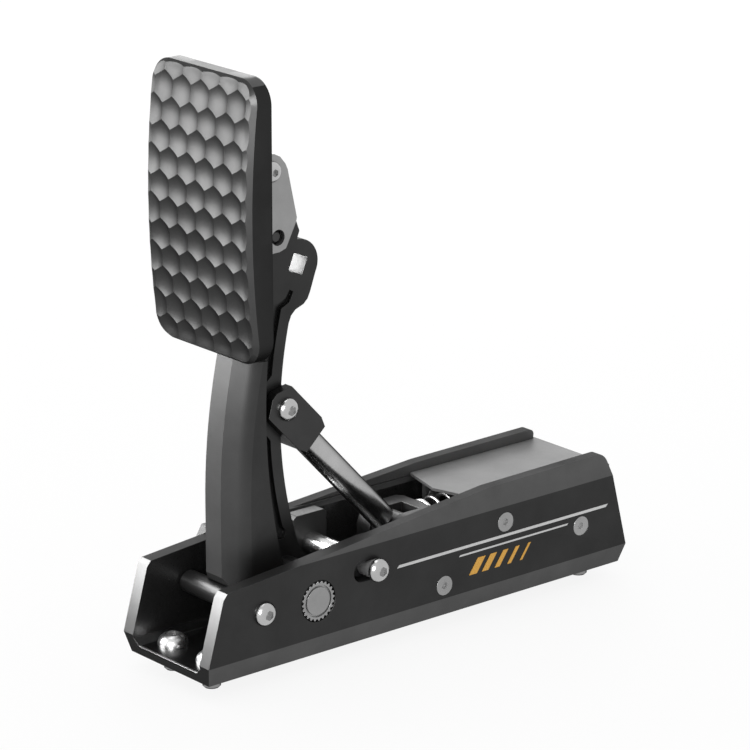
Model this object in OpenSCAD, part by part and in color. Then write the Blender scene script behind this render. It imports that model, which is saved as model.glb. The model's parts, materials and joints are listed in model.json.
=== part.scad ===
// Sim racing pedal module: a metal channel carries a swinging arm with a honeycomb pad,
// and a push rod drives a sprung yoke along the channel.
// Modules are drawn with Y from the channel's front end and Z from its underside, in millimetres.

/* [Channel] */
// Length of the channel between its front and rear creases
channel_l = 242.3; // [239:0.5:250]
// Width over the two walls
channel_w = 60; // [58:0.5:66]
// Thickness of each wall
wall_t = 6.6; // [6:0.2:7]
// Thickness of the floor
floor_t = 4.5; // [3.5:0.5:5]
// Sideways size of the bevel along each bottom edge
bevel_w = 2.8; // [1:0.2:4]
// Height of the bevel along each bottom edge
bevel_h = 9; // [7:0.5:10]
// Height of the walls at the front
front_h = 40.5; // [39:0.5:43]
// Distance from the front at which the walls reach their rear height
kink_y = 160.2; // [150:1:170]
// Height of the walls at that distance
kink_h = 53.3; // [51:0.5:54]
// Height of the walls at the rear
rear_h = 54.1; // [54:0.5:58]
// Height at which the walls begin to lean inwards
lean_z = 44; // [43.5:0.5:45]
// Inward lean of each wall at the rear height
lean_in = 3.85; // [2:0.25:4.5]
// Height of the inner ledges that carry the deck
ledge_z = 47.1; // [46.8:0.1:47.5]
// Width of those ledges
ledge_w = 1.2; // [0.9:0.1:1.4]
// Setback of the wall's front corner at the top
nose_set = 9.1; // [6:0.5:12]
// Setback of the underside at the front and the rear
sole_set = 2.1; // [1:0.1:3]
// Setback of the wall's rear edge at the lean
tail_set = 8.9; // [6:0.5:11]
// Setback of the wall's rear corner at the top
tail_top_set = 13.2; // [12.8:0.2:15]
// Radius of that corner
tail_r = 4.6; // [3:0.2:5]

/* [Floor bolts] */
// Spacing of the floor bolts across the channel
bolt_dx = 27; // [24:0.5:27]
// Setback of the floor bolts from the front and rear creases
bolt_set = 14.15; // [13.6:0.05:14.8]
// Diameter of the M8 floor bolts
foot_d = 8; // [7:0.5:8]
// Diameter of their heads
foot_head_d = 13.4; // [12:0.1:13.4]
// Height of their heads
foot_head_h = 4.8; // [4:0.2:5]
// Length of the bolt ends below the channel, on which the module stands
foot_h = 7; // [6:0.5:9]
// Diameter of every M6 bolt
bolt_d = 6; // [5:0.5:6]

/* [Side screws] */
// Diameter of the flush screws
screw_d = 5; // [4:0.5:5]
// Diameter of their countersunk heads
screw_head_d = 9; // [8:0.5:10]
// Height of the front pair
screw_front_z = 15; // [13:0.5:16]
// Height of the deck pair
screw_deck_z = 36.5; // [35:0.5:38]
// Height of the rear pair
screw_rear_z = 24; // [20:0.5:28]

/* [Rest stop] */
// Distance of the rest rod from the front
rest_y = 30.1; // [29:0.5:31]
// Height of the rest rod
rest_z = 27.1; // [25:0.5:27]
// Diameter of the rest rod
rest_d = 10; // [8:0.5:10]
// Diameter of the button heads on the walls
button_d = 10.9; // [10:0.1:12]
// Height of the button heads
button_h = 3.6; // [3:0.2:4]

/* [Pivot] */
// Distance of the pivot from the front
pivot_y = 59.8; // [59:0.2:61]
// Height of the pivot
pivot_z = 25.4; // [24.6:0.2:26]
// Diameter of the axle
axle_d = 10; // [8:0.5:10]
// Outer diameter of the axle bushes
bush_d = 14; // [13:0.5:15]
// Diameter of the serrated pivot cap
cap_d = 18; // [17:0.5:20]
// Thickness of the pivot cap
cap_t = 3; // [2.5:0.1:3]
// Number of teeth round the cap
cap_teeth = 24; // [18:1:30]

/* [Cross bar] */
// Distance of the cross bar from the front
bar_y = 91.3; // [91:0.1:92]
// Height of the cross bar
bar_z = 32.8; // [32:0.2:34]
// Diameter of the cross bar
bar_d = 10; // [9:0.5:10]
// Travel of the bar in its slots
bar_travel = 7; // [4:0.5:7]
// Height of the slots
slot_h = 9; // [8.6:0.2:9.6]
// Length of each carrier along the channel
carrier_l = 18.6; // [16:0.2:19]
// Height of the near carrier's top
carrier_near = 41.5; // [40:0.5:42]
// Height of the far carrier's top
carrier_far = 46.5; // [42:0.5:46.5]
// Clear width between the carriers
carrier_gap = 28; // [27.8:0.1:30]
// Length of the slot bolt's bush that stands out of the wall
bush_proud = 2.2; // [1:0.2:3]

/* [Deck] */
// Thickness of the deck
deck_t = 1.4; // [1.2:0.1:1.8]
// Distance of the front edge's middle from the front
deck_y = 150.7; // [149:0.5:153]
// Setback of the front edge's corners behind its middle
deck_vee = 6; // [4:0.2:7]
// Distance of the rear edge from the channel's rear crease
deck_rear = 8.2; // [7:0.2:8.4]
// Width of the deck's lip behind the walls
lip_w = 54; // [50:0.5:55]

/* [Arm] */
// Width of the arm's front body
arm_w = 27; // [26:0.2:27]
// Width of the flat front face
arm_face = 10.7; // [8:0.1:12]
// Radius between the bevel and the side
arm_round = 12; // [8:0.5:12]
// Distance of the front face from the channel's front
arm_y = 26.5; // [26:0.1:27]
// Height at which the front face begins to lean back
arm_bend_z = 68; // [64:0.5:72]
// Radius of the lean
arm_bend_r = 290; // [270:5:310]
// Height of the arm's toe
toe_z = 32.6; // [32.6:0.1:34]
// Thickness of the rear web
rib_t = 11; // [10:0.2:11]
// Depth of the web pockets on each side
pocket_t = 2; // [1:0.1:2.5]
// Width of the rim behind the pockets
rim_w = 5.6; // [4.5:0.1:6]
// Radius of the heel round the pivot
heel_r = 17.5; // [16:0.1:17.5]
// Radius of the head
head_r = 10.8; // [10:0.1:11]
// Side of the square hole in the head
square_w = 8; // [6:0.1:8.6]

/* [Pad] */
// Width of the pad
pad_w = 70; // [70:0.5:76]
// Height of the pad
pad_h = 121.6; // [112:0.4:130]
// Height of the pad's middle
pad_z = 198.5; // [196:0.5:202]
// Thickness at the middle
pad_t = 13.5; // [12.5:0.1:15]
// Radius of the bowed face
pad_bow = 415; // [360:5:600]
// Corner radius
pad_round = 11; // [8:0.5:14]
// Width across the flats of one honeycomb cell
cell_w = 12.2; // [11.6:0.1:14]
// Depth of each dished cell
cell_t = 1.7; // [1:0.1:1.8]
// Width of the bevel round the face
pad_bevel = 2; // [1:0.1:2.4]

/* [Pad bracket] */
// Distance of the pad's rear face from the channel's front
pad_y = 32.8; // [32:0.2:33]
// Thickness of the bracket's base
plate_t = 4; // [3:0.2:4.4]
// Thickness of each cheek
cheek_t = 3; // [2.4:0.1:3.4]
// Width of the base
plate_w = 42; // [38:0.5:50]
// Height of the upper bracket bolt
bracket_z = 212.3; // [210.5:0.1:213]
// Height of the lower bracket bolt
bracket_low_z = 183.2; // [182:0.1:184]
// Diameter of the bracket bolts
bracket_d = 5; // [4:0.5:5]
// Diameter of the pad screws
pad_screw_d = 4; // [3:0.5:4]
// Diameter of their heads
pad_screw_head = 7.4; // [7:0.1:7.6]
// Length of the pad screws inside the pad
pad_screw_in = 6.5; // [5:0.5:7]

/* [Push rod] */
// Distance of the clevis bolt from the front
lug_y = 58.8; // [58.4:0.1:59.2]
// Height of the clevis bolt
lug_z = 107.4; // [106.8:0.1:108]
// Radius of the arm's lug round that bolt
lug_r = 9; // [8:0.1:9.2]
// Width of the clevis
clevis_w = 21; // [20:0.2:22]
// Height of the clevis across the rod
clevis_h = 17.6; // [17:0.2:18.4]
// Diameter of the rod
rod_d = 12; // [10:0.5:12.4]
// Distance of the rod's lower end from the eye's middle
rod_set = 10; // [9.9:0.1:11]
// Diameter of the rod end's shank
shank_d = 8; // [7:0.5:8]
// Radius of the rod end's eye
eye_r = 8.4; // [7.6:0.1:8.6]
// Play of the eye on its pin
eye_play = 0.8; // [0.7:0.05:0.9]

/* [Yoke and spring] */
// Distance of the yoke pin from the front
yoke_y = 127.9; // [127.5:0.1:128.5]
// Height of the yoke pin
yoke_z = 34; // [33.8:0.1:34.2]
// Width of the yoke
yoke_w = 29.2; // [28:0.2:31]
// Height of the yoke above its pin
yoke_top = 9.5; // [9:0.1:9.8]
// Distance of the yoke's rear face behind its pin
yoke_back = 15.7; // [15.4:0.1:16.4]
// Diameter of the yoke pin
pin_d = 6; // [5:0.1:6.2]
// Diameter of the guide rod
guide_d = 8; // [7:0.1:8.4]
// Outer diameter of the spring
spring_d = 20.8; // [18:0.1:20.8]
// Diameter of the spring wire
wire_d = 2.2; // [1.6:0.1:2.6]
// Number of coils
spring_turns = 7; // [5:1:8]
// Length of the slide block
block_l = 49; // [46:0.5:52]
// Distance of the slide block from the front
block_y = 117; // [116:0.5:118]
// Length of the spring anchor along the channel
anchor_l = 22; // [20:0.5:24]

/* [Sensor] */
// Thickness of the sensor cover
cover_t = 4.8; // [4.4:0.1:4.9]
// Height of the cover's top
cover_top = 46; // [44:0.5:47]
// Height of the cover's bottom
cover_bottom = 9.5; // [9:0.5:12]
// Length of the cover along the channel
cover_l = 35; // [33:0.5:38]

/* [Hidden] */
$fn = 64;
// Play of pieces that only locate each other
fit_gap = 0.1;
// Play of a turning shaft in its bore
run_gap = 0.05;
// Play of a bolt in its clearance hole
bolt_gap = 0.2;
// Play between sliding faces
slide_gap = 0.3;
half_w = channel_w / 2;
inner_x = half_w - wall_t;
lean = lean_in / (rear_h - lean_z);
inner_bevel = 3;
bolt_front = bolt_set;
bolt_rear = channel_l - bolt_set;
bolt_x = min(bolt_dx / 2, inner_x - inner_bevel - foot_head_d / 2 - 0.1);
anchor_set = 6.75;
anchor_rear = bolt_rear - anchor_set;
anchor_front = anchor_rear - anchor_l;
anchor_half = inner_x - slide_gap;
screw_front_y = block_y + 14.8;
screw_deck_y = deck_y + 17.1;
screw_rear_y = anchor_rear - 7.5;
side_spots = [[screw_front_y, screw_front_z], [screw_deck_y, screw_deck_z], [screw_rear_y, screw_rear_z]];
deck_under = ledge_z;
deck_z = ledge_z + deck_t;
deck_half = inner_x + ledge_w - lean * (deck_z - lean_z) - slide_gap;
deck_end = channel_l - deck_rear;
lip_y = channel_l - tail_set - 0.35;
ledge_x = inner_x - lean * (ledge_z - lean_z);
tab_x = ledge_x - slide_gap;
tab_t = 2.4;
strut_l = sqrt((yoke_y - lug_y) * (yoke_y - lug_y) + (yoke_z - lug_z) * (yoke_z - lug_z));
strut_a = atan2(yoke_z - lug_z, yoke_y - lug_y);
shank_in = 14;
rod_l = strut_l - rod_set - lug_r - 3.6;
guide_in = 4.4;
guide_past = 10;
yoke_rear = yoke_y + yoke_back;
seat_t = 2;
spring_y0 = yoke_rear;
spring_y1 = anchor_front - seat_t;
spring_r = (spring_d - wire_d) / 2;
hub_half = arm_w / 2;
flange_t = 1.2;
flange_d = bush_d + 4;
bush_l = wall_t - cap_t - 0.2;
cheek_in = rib_t / 2 + slide_gap;
cheek_out = cheek_in + cheek_t;
cheek_y = 56.2;
cheek_top_y = 52.6;
cheek_z = bracket_z - 2.2;
pad_front = pad_y - pad_t;
row_h = cell_w * 0.8660254;
dish_r = (cell_w * cell_w / 3 + cell_t * cell_t) / (2 * cell_t);
carrier_half = inner_x - fit_gap;
bush_slot_d = slot_h - 2 * 0.15;
cover_front = pivot_y - cover_l / 2;
cover_back = pivot_y + cover_l / 2;
slot_rear = bar_y;
slot_front = bar_y - bar_travel - 0.1;
tongue_w = 12;
yoke_low = yoke_z - 12;
block_top = yoke_low - slide_gap;
clevis_slot = rib_t + 2 * slide_gap;
eye_w = rib_t;
yoke_slot = eye_w + 0.8;

// Points of an arc, from one angle to another
function arc(c, r, a0, a1, n) = [for (i = [0 : n]) c + r * [cos(a0 + (a1 - a0) * i / n), sin(a0 + (a1 - a0) * i / n)]];
// Y of the concave rear edge at a height, for a circle with its middle behind the arm
function edge_y(cy, cz, r, z) = cy - sqrt(r * r - (z - cz) * (z - cz));
// Points of that edge from one height to another
function edge(cy, cz, r, z0, z1, n) = [for (i = [0 : n]) let (z = z0 + (z1 - z0) * i / n) [edge_y(cy, cz, r, z), z]];

// Set a piece in the shared frame: middle of the channel, underside of the feet
module in_place()
  translate([0, -channel_l / 2, foot_h])
    children();

// Extrude a side profile, drawn in Y and Z, to a width that is centred on the middle plane
module along_x(w)
  translate([-w / 2, 0, 0])
    rotate([90, 0, 90])
      linear_extrude(w)
        children();

// Extrude a side profile between two stations across the object
module between_x(x0, x1)
  translate([x0, 0, 0])
    rotate([90, 0, 90])
      linear_extrude(x1 - x0)
        children();

// A cylinder across the object
module x_rod(y, z, d, x0, x1)
  translate([x0, y, z])
    rotate([0, 90, 0])
      cylinder(d = d, h = x1 - x0);

// A piece and its mirror image on the other side
module both_sides() {
  children();
  mirror([1, 0, 0])
    children();
}

// A button-head bolt: the head stands on z = 0 and the shank points down
module button_bolt(d, len, hd, hh, key)
  difference() {
    rotate_extrude()
      polygon([[0, -len], [d / 2 - 0.5, -len], [d / 2, -len + 0.5], [d / 2, 0], [hd / 2, 0], [hd / 2, 0.2 * hh],
        [0.47 * hd, 0.45 * hh], [0.41 * hd, 0.7 * hh], [0.33 * hd, 0.88 * hh], [0.24 * hd, hh], [0, hh]]);
    translate([0, 0, 0.45 * hh])
      cylinder(d = key / cos(30), h = hh, $fn = 6);
  }

// A countersunk screw: the head's face lies on z = 0 and the shank points down
module flush_screw(d, len, hd, key)
  difference() {
    rotate_extrude()
      polygon([[0, -len], [d / 2, -len], [d / 2, -(hd - d) / 2 - 0.3], [hd / 2, -0.3], [hd / 2, 0], [0, 0]]);
    translate([0, 0, -1.6])
      cylinder(d = key / cos(30), h = 3, $fn = 6);
  }

// The hole for a countersunk screw
module flush_hole(d, len, hd)
  rotate_extrude()
    polygon([[0, -len], [d / 2 + fit_gap, -len], [d / 2 + fit_gap, -(hd - d) / 2 - 0.3 - fit_gap],
      [hd / 2 + fit_gap, -0.3 - fit_gap], [hd / 2 + fit_gap, 1], [0, 1]]);

// Stand a piece on the near wall's outer face, pointing outwards
module on_wall(y, z)
  translate([half_w, y, z])
    rotate([0, 90, 0])
      children();

// Set a piece in the push rod's frame: Y runs down the rod from the clevis bolt
module in_strut()
  translate([0, lug_y, lug_z])
    rotate([strut_a, 0, 0])
      children();

channel_section = [
  [half_w - bevel_w, 0], [half_w, bevel_h], [half_w, lean_z], [half_w - lean * 20, lean_z + 20],
  [inner_x + ledge_w - lean * 20, lean_z + 20], [ledge_x + ledge_w, ledge_z], [ledge_x, ledge_z],
  [inner_x, lean_z], [inner_x, floor_t + inner_bevel],
  [inner_x - inner_bevel, floor_t], [-inner_x + inner_bevel, floor_t], [-inner_x, floor_t + inner_bevel],
  [-inner_x, lean_z], [-ledge_x, ledge_z], [-ledge_x - ledge_w, ledge_z],
  [-inner_x - ledge_w + lean * 20, lean_z + 20], [-half_w + lean * 20, lean_z + 20],
  [-half_w, lean_z], [-half_w, bevel_h], [-half_w + bevel_w, 0]];

channel_side = concat(
  [[sole_set, 0], [0, bevel_h], [nose_set - 0.8, front_h - 2.4], [nose_set + 1.4, front_h + 0.1], [kink_y, kink_h]],
  arc([channel_l - tail_top_set - 1.6, rear_h - tail_r], tail_r, 90, 14, 8),
  [[channel_l - tail_set, lean_z], [channel_l, bevel_h], [channel_l - sole_set, 0]]);

module chassis_channel()
  color("#4a4d52") in_place()
    difference() {
      intersection() {
        translate([0, channel_l, 0])
          rotate([90, 0, 0])
            linear_extrude(channel_l)
              polygon(channel_section);
        along_x(channel_w + 2)
          polygon(channel_side);
      }
      both_sides() {
        for (s = side_spots)
          on_wall(s[0], s[1])
            flush_hole(screw_d, wall_t + 4, screw_head_d);
        x_rod(rest_y, rest_z, bolt_d + 2 * bolt_gap, inner_x - 2, half_w + 1);
        x_rod(pivot_y, pivot_z, bush_d + 2 * run_gap, inner_x - 2, half_w + 1);
        x_rod(slot_front, bar_z, slot_h, inner_x - 2, half_w + 1);
        x_rod(slot_rear, bar_z, slot_h, inner_x - 2, half_w + 1);
        translate([inner_x - 2, slot_front, bar_z - slot_h / 2])
          cube([wall_t + 3, slot_rear - slot_front, slot_h]);
        for (y = [bolt_front, bolt_rear])
          translate([bolt_x, y, -1])
            cylinder(d = foot_d + 2 * bolt_gap, h = floor_t + 2);
      }
      x_rod(pivot_y, pivot_z, cap_d + 0.8, half_w - cap_t - 0.2, half_w + 1);
      for (s = [[cover_front + 3.4, pivot_z], [cover_back - 3.4, pivot_z + 8]])
        x_rod(s[0], s[1], 3 + 2 * fit_gap, -half_w - 1, -half_w + 4.5);
    }

module deck_cover()
  color("#6b6e73") in_place()
    difference() {
      union() {
        translate([0, 0, deck_under])
          linear_extrude(deck_t)
            polygon([[-deck_half, deck_y + deck_vee], [0, deck_y], [deck_half, deck_y + deck_vee], [deck_half, lip_y],
              [lip_w / 2, lip_y], [lip_w / 2, deck_end - 0.4], [lip_w / 2 - 0.4, deck_end],
              [-lip_w / 2 + 0.4, deck_end], [-lip_w / 2, deck_end - 0.4], [-lip_w / 2, lip_y], [-deck_half, lip_y]]);
        both_sides()
          between_x(tab_x - tab_t, tab_x)
            polygon([[screw_deck_y - 4.4, deck_under + 0.2], [screw_deck_y - 4.4, screw_deck_z - 3],
              [screw_deck_y - 2.6, screw_deck_z - 5], [screw_deck_y + 2.6, screw_deck_z - 5],
              [screw_deck_y + 4.4, screw_deck_z - 3], [screw_deck_y + 4.4, deck_under + 0.2]]);
      }
      both_sides()
        x_rod(screw_deck_y, screw_deck_z, screw_d + 2 * fit_gap, tab_x - tab_t - 2, inner_x + 1);
    }

module side_screws()
  color("#b9bcc0") in_place()
    both_sides()
      for (s = side_spots)
        on_wall(s[0], s[1])
          flush_screw(screw_d, wall_t + (s[1] == screw_deck_z ? inner_x - tab_x + tab_t : 7), screw_head_d, 3);

module rest_rod()
  color("#303236") in_place()
    difference() {
      translate([-inner_x, rest_y, rest_z])
        rotate([0, 90, 0])
          rotate_extrude()
            polygon([[0, 0], [rest_d / 2 - 1.2, 0], [rest_d / 2, 1.2], [rest_d / 2, 2 * inner_x - 1.2],
              [rest_d / 2 - 1.2, 2 * inner_x], [0, 2 * inner_x]]);
      both_sides()
        x_rod(rest_y, rest_z, bolt_d + 2 * fit_gap, inner_x - 12, inner_x + 1);
    }

module rest_bolts()
  color("#1c1d20") in_place()
    both_sides()
      on_wall(rest_y, rest_z)
        button_bolt(bolt_d, wall_t + 11, button_d, button_h, 4);

module axle_bushes()
  color("#b08d57") in_place()
    both_sides()
      translate([inner_x, pivot_y, pivot_z])
        rotate([0, 90, 0])
          difference() {
            union() {
              translate([0, 0, -flange_t])
                cylinder(d = flange_d, h = flange_t);
              cylinder(d = bush_d, h = bush_l);
            }
            translate([0, 0, -flange_t - 1])
              cylinder(d = axle_d + 2 * run_gap, h = bush_l + flange_t + 2);
          }

module pivot_axle()
  color("#c4c7cb") in_place()
    difference() {
      x_rod(pivot_y, pivot_z, axle_d, -half_w + 2.6, half_w - cap_t);
      x_rod(pivot_y, pivot_z, 6 + 2 * fit_gap, -half_w + 1, -half_w + 2.6 + 2.5);
      x_rod(pivot_y, pivot_z, 5 + 2 * fit_gap, half_w - cap_t - 8, half_w);
    }

module axle_magnet()
  color("#d4d6d8") in_place()
    x_rod(pivot_y, pivot_z, 6, -half_w + 2.6, -half_w + 5.1);

module pivot_cap()
  color("#8d9096") in_place()
    translate([half_w - cap_t, pivot_y, pivot_z])
      rotate([0, 90, 0])
        difference() {
          union() {
            linear_extrude(cap_t)
              polygon([for (i = [0 : 4 * cap_teeth - 1]) let (a = i * 90 / cap_teeth, k = i % 4)
                (k < 2 ? cap_d / 2 : cap_d / 2 - 0.9) * [cos(a), sin(a)]]);
            translate([0, 0, -7.5])
              cylinder(d = 5, h = 8);
          }
          translate([0, 0, cap_t - 0.9])
            difference() {
              cylinder(d = cap_d - 3.6, h = 2);
              translate([0, 0, -1])
                cylinder(d = cap_d - 5.4, h = 4);
            }
        }

module axle_grub()
  color("#2a2b2e") in_place()
    translate([0, pivot_y, pivot_z - axle_d / 2 - fit_gap - grub_l])
      difference() {
        cylinder(d = grub_d, h = grub_l);
        translate([0, 0, -1])
          cylinder(d = 2.5 / cos(30), h = 3.5, $fn = 6);
      }

module pivot_spacers()
  color("#8f9297") in_place()
    both_sides()
      difference() {
        x_rod(pivot_y, pivot_z, bush_d + 3, hub_half, inner_x - flange_t - slide_gap);
        x_rod(pivot_y, pivot_z, axle_d + 2 * run_gap, hub_half - 1, inner_x);
      }

module sensor_cover()
  color("#232428") in_place()
    difference() {
      between_x(-half_w - cover_t, -half_w)
        polygon([[cover_front + 4.5, cover_top], [cover_back - 4, cover_top], [cover_back, cover_top - 4],
          [cover_back, cover_bottom + 5], [cover_back - 4.5, cover_bottom], [cover_front + 4.5, cover_bottom],
          [cover_front, cover_bottom + 5], [cover_front, cover_top - 7.5]]);
      translate([-half_w - cover_t + 1.5, cover_front + 6.6, cover_bottom + 4])
        cube([cover_t, cover_l - 13.2, cover_top - cover_bottom - 10]);
      translate([-half_w - cover_t + 0.8, cover_back - 8, pivot_z - 12.6])
        cube([cover_t - 0.8 + 1, 9, 9.2]);
      for (s = [[cover_front + 3.4, pivot_z], [cover_back - 3.4, pivot_z + 8]])
        translate([-half_w - cover_t, s[0], s[1]])
          rotate([0, -90, 0])
            flush_hole(3, cover_t + 1, 5.6);
    }

module sensor_screws()
  color("#c9ccd0") in_place()
    for (s = [[cover_front + 3.4, pivot_z], [cover_back - 3.4, pivot_z + 8]])
      translate([-half_w - cover_t, s[0], s[1]])
        rotate([0, -90, 0])
          flush_screw(3, cover_t + 3.6, 5.6, 2);

module sensor_board()
  color("#1f5b3a") in_place() {
    translate([-half_w - 2, cover_front + 7, cover_bottom + 4.4])
      cube([1.6, cover_l - 14, cover_top - cover_bottom - 10.8]);
    translate([-half_w - 0.6, pivot_y - 2.5, pivot_z - 2])
      cube([1.8, 5, 4]);
  }

module signal_socket()
  color("#d9d4c4") in_place()
    difference() {
      translate([-half_w - cover_t + 0.9, cover_back - 6.4, pivot_z - 12.5])
        cube([3.7, 6.4, 9]);
      translate([-half_w - cover_t + 1.6, cover_back - 5, pivot_z - 11.7])
        cube([2.3, 8, 7.4]);
    }

module slide_block()
  color("#3a3c40") in_place()
    difference() {
      translate([0, block_y + block_l, 0])
        rotate([90, 0, 0])
          linear_extrude(block_l)
            polygon([[anchor_half, block_top], [anchor_half, floor_t + inner_bevel + 0.4],
              [anchor_half - inner_bevel - 0.4, floor_t], [-anchor_half + inner_bevel + 0.4, floor_t],
              [-anchor_half, floor_t + inner_bevel + 0.4], [-anchor_half, block_top]]);
      translate([-tongue_w / 2 - slide_gap, block_y - 1, block_top - 4])
        cube([tongue_w + 2 * slide_gap, block_l - 1, 5]);
      both_sides()
        x_rod(screw_front_y, screw_front_z, screw_d + 2 * fit_gap, anchor_half - 9, half_w);
    }

module spring_anchor()
  color("#3f4145") in_place()
    difference() {
      translate([0, anchor_rear, 0])
        rotate([90, 0, 0])
          linear_extrude(anchor_l)
            polygon([[tab_x, deck_under], [anchor_half, lean_z], [anchor_half, floor_t + inner_bevel + 0.4],
              [anchor_half - inner_bevel - 0.4, floor_t], [-anchor_half + inner_bevel + 0.4, floor_t],
              [-anchor_half, floor_t + inner_bevel + 0.4], [-anchor_half, lean_z], [-tab_x, deck_under]]);
      translate([0, anchor_rear + 1, yoke_z])
        rotate([90, 0, 0])
          cylinder(d = guide_d + 4 * run_gap, h = anchor_l + 2);
      both_sides()
        x_rod(screw_rear_y, screw_rear_z, screw_d + 2 * fit_gap, anchor_half - 9, half_w);
    }

module spring_seat()
  color("#a9acb1") in_place()
    translate([0, anchor_front, yoke_z])
      rotate([90, 0, 0])
        difference() {
          cylinder(d = spring_d + 1, h = seat_t);
          translate([0, 0, -1])
            cylinder(d = guide_d + 1, h = seat_t + 2);
        }

// The spring wire: one tube that runs straight out of the yoke's face, round its coils, and straight into the seat
rings_per_turn = 8;
wire_sides = 6;
coil_y0 = spring_y0 + wire_d + 0.02;
coil_y1 = spring_y1 - wire_d - 0.02;
coil_n = rings_per_turn * spring_turns;
coil_rise = (coil_y1 - coil_y0) / coil_n;
function coil_at(i) = let (a = 180 + 360 * i / rings_per_turn) [spring_r * cos(a), coil_y0 + coil_rise * i, spring_r * sin(a)];
wire_path = concat(
  [[-spring_r, spring_y0 + 0.02, 0]],
  [for (i = [0 : coil_n]) coil_at(i)],
  [coil_at(coil_n) + [0, wire_d, 0]]);
wire_n = len(wire_path);
function unit(v) = v / norm(v);
function wire_way(i) = i == 0 || i == wire_n - 1 ? [0, 1, 0]
  : i == 1 ? unit([0, 1, 0] + unit(wire_path[2] - wire_path[1]))
  : i == wire_n - 2 ? unit([0, 1, 0] + unit(wire_path[i] - wire_path[i - 1]))
  : unit(wire_path[i + 1] - wire_path[i - 1]);
// Directions square to the wire: one points away from the spring's axis
function wire_out(i) = unit([wire_path[i][0], 0, wire_path[i][2]]);
function wire_flat(i) = let (o = wire_out(i), w = wire_way(i)) unit(o - w * (o * w));
wire_points = [for (i = [0 : wire_n - 1]) let (o = wire_flat(i), w = wire_way(i), b = cross(w, o))
  for (k = [0 : wire_sides - 1]) wire_path[i] + wire_d / 2 * (o * cos(360 * k / wire_sides) + b * sin(360 * k / wire_sides))];
wire_skin = [for (i = [0 : wire_n - 2]) for (k = [0 : wire_sides - 1])
  let (a = i * wire_sides + k, b = i * wire_sides + (k + 1) % wire_sides, c = a + wire_sides, d = b + wire_sides)
    each [[a, c, b], [b, c, d]]];
wire_caps = concat(
  [for (k = [1 : wire_sides - 2]) [0, k, k + 1]],
  [for (k = [1 : wire_sides - 2]) let (e = (wire_n - 1) * wire_sides) [e, e + k + 1, e + k]]);
// Least gap of the wire to itself, between points that lie at least half a coil apart along it
wire_gap = min([for (i = [0 : wire_n - 1]) for (j = [i + 5 : 1 : min(wire_n - 1, i + 12)])
  norm(wire_path[i] - wire_path[j])]) - wire_d;
echo(wire_gap = wire_gap, wire_faces = len(wire_skin) + len(wire_caps));

module return_spring()
  color("#d0d3d6") in_place()
    translate([0, 0, yoke_z])
      polyhedron(wire_points, concat(wire_skin, wire_caps), convexity = 10);

// Button-head bolts through the floor: their ends stick out below as studs
module floor_bolts()
  color("#d6d8da") in_place()
    both_sides()
      for (y = [bolt_front, bolt_rear])
        translate([bolt_x, y, 0]) {
          translate([0, 0, floor_t])
            button_bolt(foot_d - 0.4, floor_t + 1, foot_head_d, foot_head_h, 5);
          translate([0, 0, -foot_h])
            rotate_extrude()
              polygon([[0, 0], [foot_d / 2 - 0.8, 0], [foot_d / 2, 0.8], [foot_d / 2, foot_h], [0, foot_h]]);
        }

module cross_bar()
  color("#d2d5d8") in_place()
    difference() {
      x_rod(bar_y, bar_z, bar_d, -carrier_gap / 2, carrier_gap / 2);
      both_sides()
        x_rod(bar_y, bar_z, bolt_d + 2 * fit_gap, carrier_gap / 2 - 9, carrier_gap / 2 + 1);
    }

// One carrier, relieved at the top for the leaning wall
module bar_carrier(top)
  difference() {
    between_x(carrier_gap / 2, carrier_half)
      polygon([[bar_y - carrier_l / 2, bar_z - 12], [bar_y - carrier_l / 2, top - 1.5],
        [bar_y - carrier_l / 2 + 1.5, top], [bar_y + carrier_l / 2 - 1.5, top],
        [bar_y + carrier_l / 2, top - 1.5], [bar_y + carrier_l / 2, bar_z - 12]]);
    x_rod(bar_y, bar_z, bolt_d + 2 * fit_gap, carrier_gap / 2 - 1, inner_x + 1);
    translate([carrier_half - 2.6, bar_y - carrier_l, lean_z - 1.5])
      cube([8, 2 * carrier_l, 20]);
  }

module bar_carriers()
  color("#202125") in_place() {
    bar_carrier(carrier_near);
    mirror([1, 0, 0])
      bar_carrier(carrier_far);
  }

module slot_bushes()
  color("#a4a7ab") in_place()
    both_sides()
      difference() {
        x_rod(bar_y, bar_z, bush_slot_d, carrier_half, half_w + bush_proud);
        x_rod(bar_y, bar_z, bolt_d + 2 * fit_gap, carrier_half - 1, half_w + bush_proud + 1);
      }

module slot_bolts()
  color("#1c1d20") in_place()
    both_sides()
      translate([half_w + bush_proud, bar_y, bar_z])
        rotate([0, 90, 0])
          button_bolt(bolt_d, half_w + bush_proud - carrier_gap / 2 + 8, button_d, button_h, 4);

arm_half = arm_w / 2;
face_half = arm_face / 2;
arm_bevel = arm_half - face_half;
round_t = arm_round * tan(22.5);
arm_right = concat([[face_half, 0]], arc([arm_half - arm_round, arm_bevel + round_t], arm_round, -45, 0, 10), [[arm_half, 40]]);
arm_left = [for (i = [len(arm_right) - 1 : -1 : 0]) [-arm_right[i][0], arm_right[i][1]]];
arm_section = concat(arm_right, arm_left);
// Rear edge of the front body, and rear edge of the web, each one arc
body_waist = 45.2;
body_cz = 107;
body_r = 274;
body_cy = body_waist + body_r;
web_waist = 59.2;
web_cz = 101;
web_r = 181;
web_cy = web_waist + web_r;
head_y = 69.5;
head_z = 168.7;
grub_d = 5;
grub_l = 8;

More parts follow.
